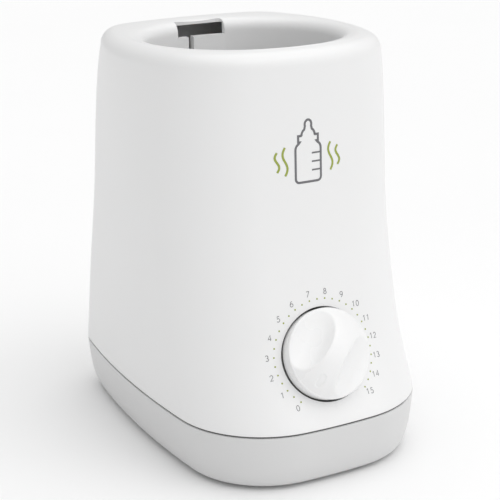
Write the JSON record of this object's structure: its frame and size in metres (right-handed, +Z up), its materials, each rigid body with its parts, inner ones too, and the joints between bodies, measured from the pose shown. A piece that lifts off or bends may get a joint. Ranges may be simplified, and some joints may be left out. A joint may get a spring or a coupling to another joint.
{
  "type": "bottle warmer",
  "caption": "Tall water-bath bottle warmer: flared white housing, open round warming chamber, base with the works and a front timer knob.",
  "frame": {"origin": "on the ground, below the middle of the base", "axes": "+Z up; -Y towards the timer dial; +X to the right when facing the dial"},
  "size_m": [0.132, 0.195, 0.205],
  "materials": {
    "white_shell": "satin moulded white",
    "base_white": "satin moulded white, a shade greyer",
    "dark_seal": "matt dark grey",
    "foot_rubber": "matt, soft",
    "steel": "zinc-plated steel",
    "liner_white": "smooth moulded white",
    "silicone": "translucent silicone",
    "filter_white": "smooth moulded",
    "knob_white": "satin moulded white",
    "zinc": "pressed, zinc-plated",
    "brass": "stamped brass",
    "natural_nylon": "natural nylon",
    "black_plastic": "moulded black",
    "tank_plastic": "milky moulded",
    "aluminium": "die cast",
    "board_green": "coated glass laminate",
    "gland_grey": "moulded"
  },
  "bodies": {
    "case": {"base_shell": "base_white", "board_screws": "steel", "capacitor": "black_plastic", "case_screws": "steel", "chamber_liner": "liner_white", "control_board": "board_green", "cord_gland": "gland_grey", "drain_hose": "silicone", "drip_washer": "dark_seal", "fuse_strap": "zinc", "gland_nut": "gland_grey", "heater_block": "aluminium", "heater_outlet_hose": "silicone", "heater_screws": "steel", "liner_screws": "steel", "liner_seal": "silicone", "mainspring": "steel", "motor_plate": "steel", "pump_bracket": "zinc", "pump_cover": "natural_nylon", "pump_grommets": "foot_rubber", "pump_housing": "natural_nylon", "pump_inlet_hose": "silicone", "pump_motor": "steel", "pump_outlet_hose": "silicone", "pump_screws": "steel", "relay": "black_plastic", "reservoir_lid": "tank_plastic", "reservoir_seal": "silicone", "reservoir_tank": "tank_plastic", "rubber_feet": "foot_rubber", "seam_gasket": "dark_seal", "terminal_block": "black_plastic", "thermal_fuse": "natural_nylon", "thermostat": "black_plastic", "timer_case": "zinc", "timer_contacts": "black_plastic", "timer_front_plate": "zinc", "timer_screws": "steel", "transformer": "zinc", "upper_housing": "white_shell"},
    "knob": {"timer_knob": "knob_white", "knob_clip": "steel", "timer_shaft": "steel", "main_wheel": "brass", "timer_cam": "natural_nylon"},
    "governor": {"governor_pinion": "brass", "governor_wheel": "brass"},
    "rotor": {"impeller": "natural_nylon", "motor_shaft": "steel"},
    "filter": {"filter_screen": "filter_white"}
  },
  "joints": [
    {"name": "knob_turn", "type": "hinge", "parent": "case", "child": "knob", "pos_m": [0, -0.0816, 0.061], "axis": [0, 0.9135, -0.4067], "range_deg": [0, 275.4]},
    {"name": "governor_turn", "type": "hinge", "parent": "case", "child": "governor", "pos_m": [0.018, -0.0816, 0.061], "axis": [0, 0.9135, -0.4067], "range_deg": [-1101.6, 0]},
    {"name": "pump_spin", "type": "hinge", "parent": "case", "child": "rotor", "pos_m": [0.0326, -0.024, 0.03], "axis": [0, 0, 1], "continuous": true},
    {"name": "filter_lift", "type": "slide", "parent": "case", "child": "filter", "axis": [0, 0, 1], "range_m": [0, 0.16]}
  ],
  "couplings": [
    {"joint": "governor_turn", "follows": "knob_turn", "ratio": -4}
  ]
}
